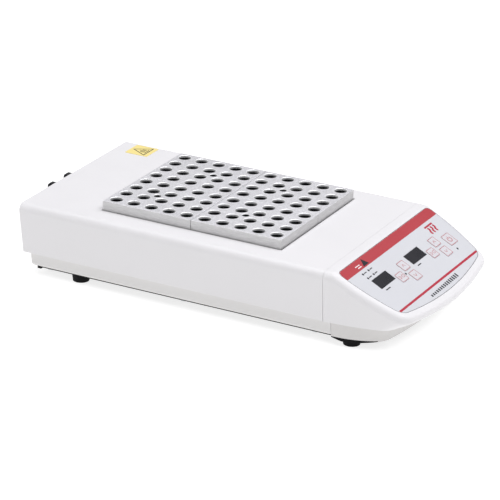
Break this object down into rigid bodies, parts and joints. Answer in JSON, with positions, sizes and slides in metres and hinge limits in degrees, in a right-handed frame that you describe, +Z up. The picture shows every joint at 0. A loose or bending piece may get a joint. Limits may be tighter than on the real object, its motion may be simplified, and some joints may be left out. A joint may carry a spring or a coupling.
{
  "type": "dry block heater",
  "caption": "Bench-top dry block heater with lift-out drilled aluminium blocks, a sloped keypad console, rubber feet and a rear rod clamp.",
  "frame": {"origin": "middle of the footprint on the bench, under the rubber feet", "axes": "+Z up, +Y towards the rear wall, the keypad console faces -Y, +X to the right seen from the front"},
  "size_m": [0.2086, 0.4348, 0.0838],
  "materials": {
    "cover_white": "satin white paint",
    "base_grey": "fine texture",
    "black_steel": "matte black",
    "overlay_film": "satin film",
    "key_film": "satin film",
    "window_glass": "smoked acrylic",
    "black_plastic": "fine texture",
    "board": "solder mask",
    "zinc_steel": "zinc plated",
    "led_red": "clear lens",
    "block_aluminium": "fine milled",
    "liner_steel": "brushed",
    "plate_aluminium": "as machined",
    "mat_rubber": "silicone",
    "insulation": "ceramic fibre",
    "core_iron": "varnished",
    "relay_blue": "moulded",
    "terminal_green": "moulded",
    "pin_brass": "nickel plated",
    "fuse_glass": "clear",
    "jack_chrome": "polished",
    "knob_black": "fine texture",
    "foot_rubber": "matte",
    "label_yellow": "printed film",
    "ribbon_grey": "PVC",
    "wire_brown": "PVC"
  },
  "bodies": {
    "housing": {"top_cover": "cover_white", "front_console": "cover_white", "base_tray": "base_grey", "console_base": "base_grey", "bottom_plate": "black_steel", "keypad_overlay": "overlay_film", "display_windows": "window_glass", "display_modules": "black_plastic", "control_board": "board", "control_board_screws": "zinc_steel", "tactile_switches": "black_plastic", "indicator_leds": "led_red", "well_liner": "liner_steel", "heater_plate": "plate_aluminium", "heating_mat": "mat_rubber", "floor_insulation": "insulation", "side_insulation": "insulation", "plate_standoffs": "zinc_steel", "plate_screws": "zinc_steel", "thermal_cutout": "black_plastic", "temperature_probe": "liner_steel", "power_board": "board", "power_board_standoffs": "zinc_steel", "transformer": "core_iron", "relay": "relay_blue", "triac": "black_plastic", "heat_sink": "plate_aluminium", "terminal_block": "terminal_green", "power_inlet": "black_plastic", "inlet_pins": "pin_brass", "switch_frame": "black_plastic", "probe_jack": "jack_chrome", "rod_clamp_seat": "plate_aluminium", "clamp_studs": "zinc_steel", "rubber_feet": "foot_rubber", "foot_screws": "zinc_steel", "cover_screws": "zinc_steel", "console_screws": "zinc_steel", "hot_surface_label": "label_yellow", "ribbon_cable": "ribbon_grey", "mains_wires": "wire_brown"},
    "block_rear_left_body": {"block_rear_left": "block_aluminium"},
    "block_rear_right_body": {"block_rear_right": "block_aluminium"},
    "block_front_left_body": {"block_front_left": "block_aluminium"},
    "block_front_right_body": {"block_front_right": "block_aluminium"},
    "key_temp_up_body": {"key_temp_up": "key_film"},
    "key_temp_start_body": {"key_temp_start": "key_film"},
    "key_temp_down_body": {"key_temp_down": "key_film"},
    "key_time_up_body": {"key_time_up": "key_film"},
    "key_time_start_body": {"key_time_start": "key_film"},
    "key_time_down_body": {"key_time_down": "key_film"},
    "key_standby_body": {"key_standby": "key_film"},
    "rocker": {"switch_rocker": "black_plastic"},
    "fuse_tray": {"fuse_drawer": "black_plastic", "fuses": "fuse_glass"},
    "clamp_bar": {"rod_clamp_bar": "plate_aluminium"},
    "knob_left": {"clamp_knob_left": "knob_black"},
    "knob_right": {"clamp_knob_right": "knob_black"}
  },
  "joints": [
    {"name": "block_rear_left_lift", "type": "slide", "parent": "housing", "child": "block_rear_left_body", "axis": [0, 0, 1], "range_m": [0, 0.055]},
    {"name": "block_rear_right_lift", "type": "slide", "parent": "housing", "child": "block_rear_right_body", "axis": [0, 0, 1], "range_m": [0, 0.055]},
    {"name": "block_front_left_lift", "type": "slide", "parent": "housing", "child": "block_front_left_body", "axis": [0, 0, 1], "range_m": [0, 0.055]},
    {"name": "block_front_right_lift", "type": "slide", "parent": "housing", "child": "block_front_right_body", "axis": [0, 0, 1], "range_m": [0, 0.055]},
    {"name": "temp_up_press", "type": "slide", "parent": "housing", "child": "key_temp_up_body", "axis": [0, 0.4462, -0.8949], "range_m": [0, 0.0005], "stiffness_N_per_m": 600, "springref_m": -0.0005},
    {"name": "temp_start_press", "type": "slide", "parent": "housing", "child": "key_temp_start_body", "axis": [0, 0.4462, -0.8949], "range_m": [0, 0.0005], "stiffness_N_per_m": 600, "springref_m": -0.0005},
    {"name": "temp_down_press", "type": "slide", "parent": "housing", "child": "key_temp_down_body", "axis": [0, 0.4462, -0.8949], "range_m": [0, 0.0005], "stiffness_N_per_m": 600, "springref_m": -0.0005},
    {"name": "time_up_press", "type": "slide", "parent": "housing", "child": "key_time_up_body", "axis": [0, 0.4462, -0.8949], "range_m": [0, 0.0005], "stiffness_N_per_m": 600, "springref_m": -0.0005},
    {"name": "time_start_press", "type": "slide", "parent": "housing", "child": "key_time_start_body", "axis": [0, 0.4462, -0.8949], "range_m": [0, 0.0005], "stiffness_N_per_m": 600, "springref_m": -0.0005},
    {"name": "time_down_press", "type": "slide", "parent": "housing", "child": "key_time_down_body", "axis": [0, 0.4462, -0.8949], "range_m": [0, 0.0005], "stiffness_N_per_m": 600, "springref_m": -0.0005},
    {"name": "standby_press", "type": "slide", "parent": "housing", "child": "key_standby_body", "axis": [0, 0.4462, -0.8949], "range_m": [0, 0.0005], "stiffness_N_per_m": 600, "springref_m": -0.0005},
    {"name": "power_rock", "type": "hinge", "parent": "housing", "child": "rocker", "pos_m": [0.048, 0.19174, 0.04617], "axis": [1, 0, 0], "range_deg": [-16, 0]},
    {"name": "fuse_pull", "type": "slide", "parent": "housing", "child": "fuse_tray", "axis": [0, 0.9986, -0.0523], "range_m": [0, 0.02]},
    {"name": "clamp_open", "type": "slide", "parent": "housing", "child": "clamp_bar", "axis": [0, 1, 0], "range_m": [0, 0.003]},
    {"name": "knob_left_spin", "type": "hinge", "parent": "clamp_bar", "child": "knob_left", "pos_m": [-0.0095, 0.2137, 0.054], "axis": [0, 1, 0], "continuous": true},
    {"name": "knob_right_spin", "type": "hinge", "parent": "clamp_bar", "child": "knob_right", "pos_m": [0.0205, 0.2137, 0.054], "axis": [0, 1, 0], "continuous": true}
  ]
}
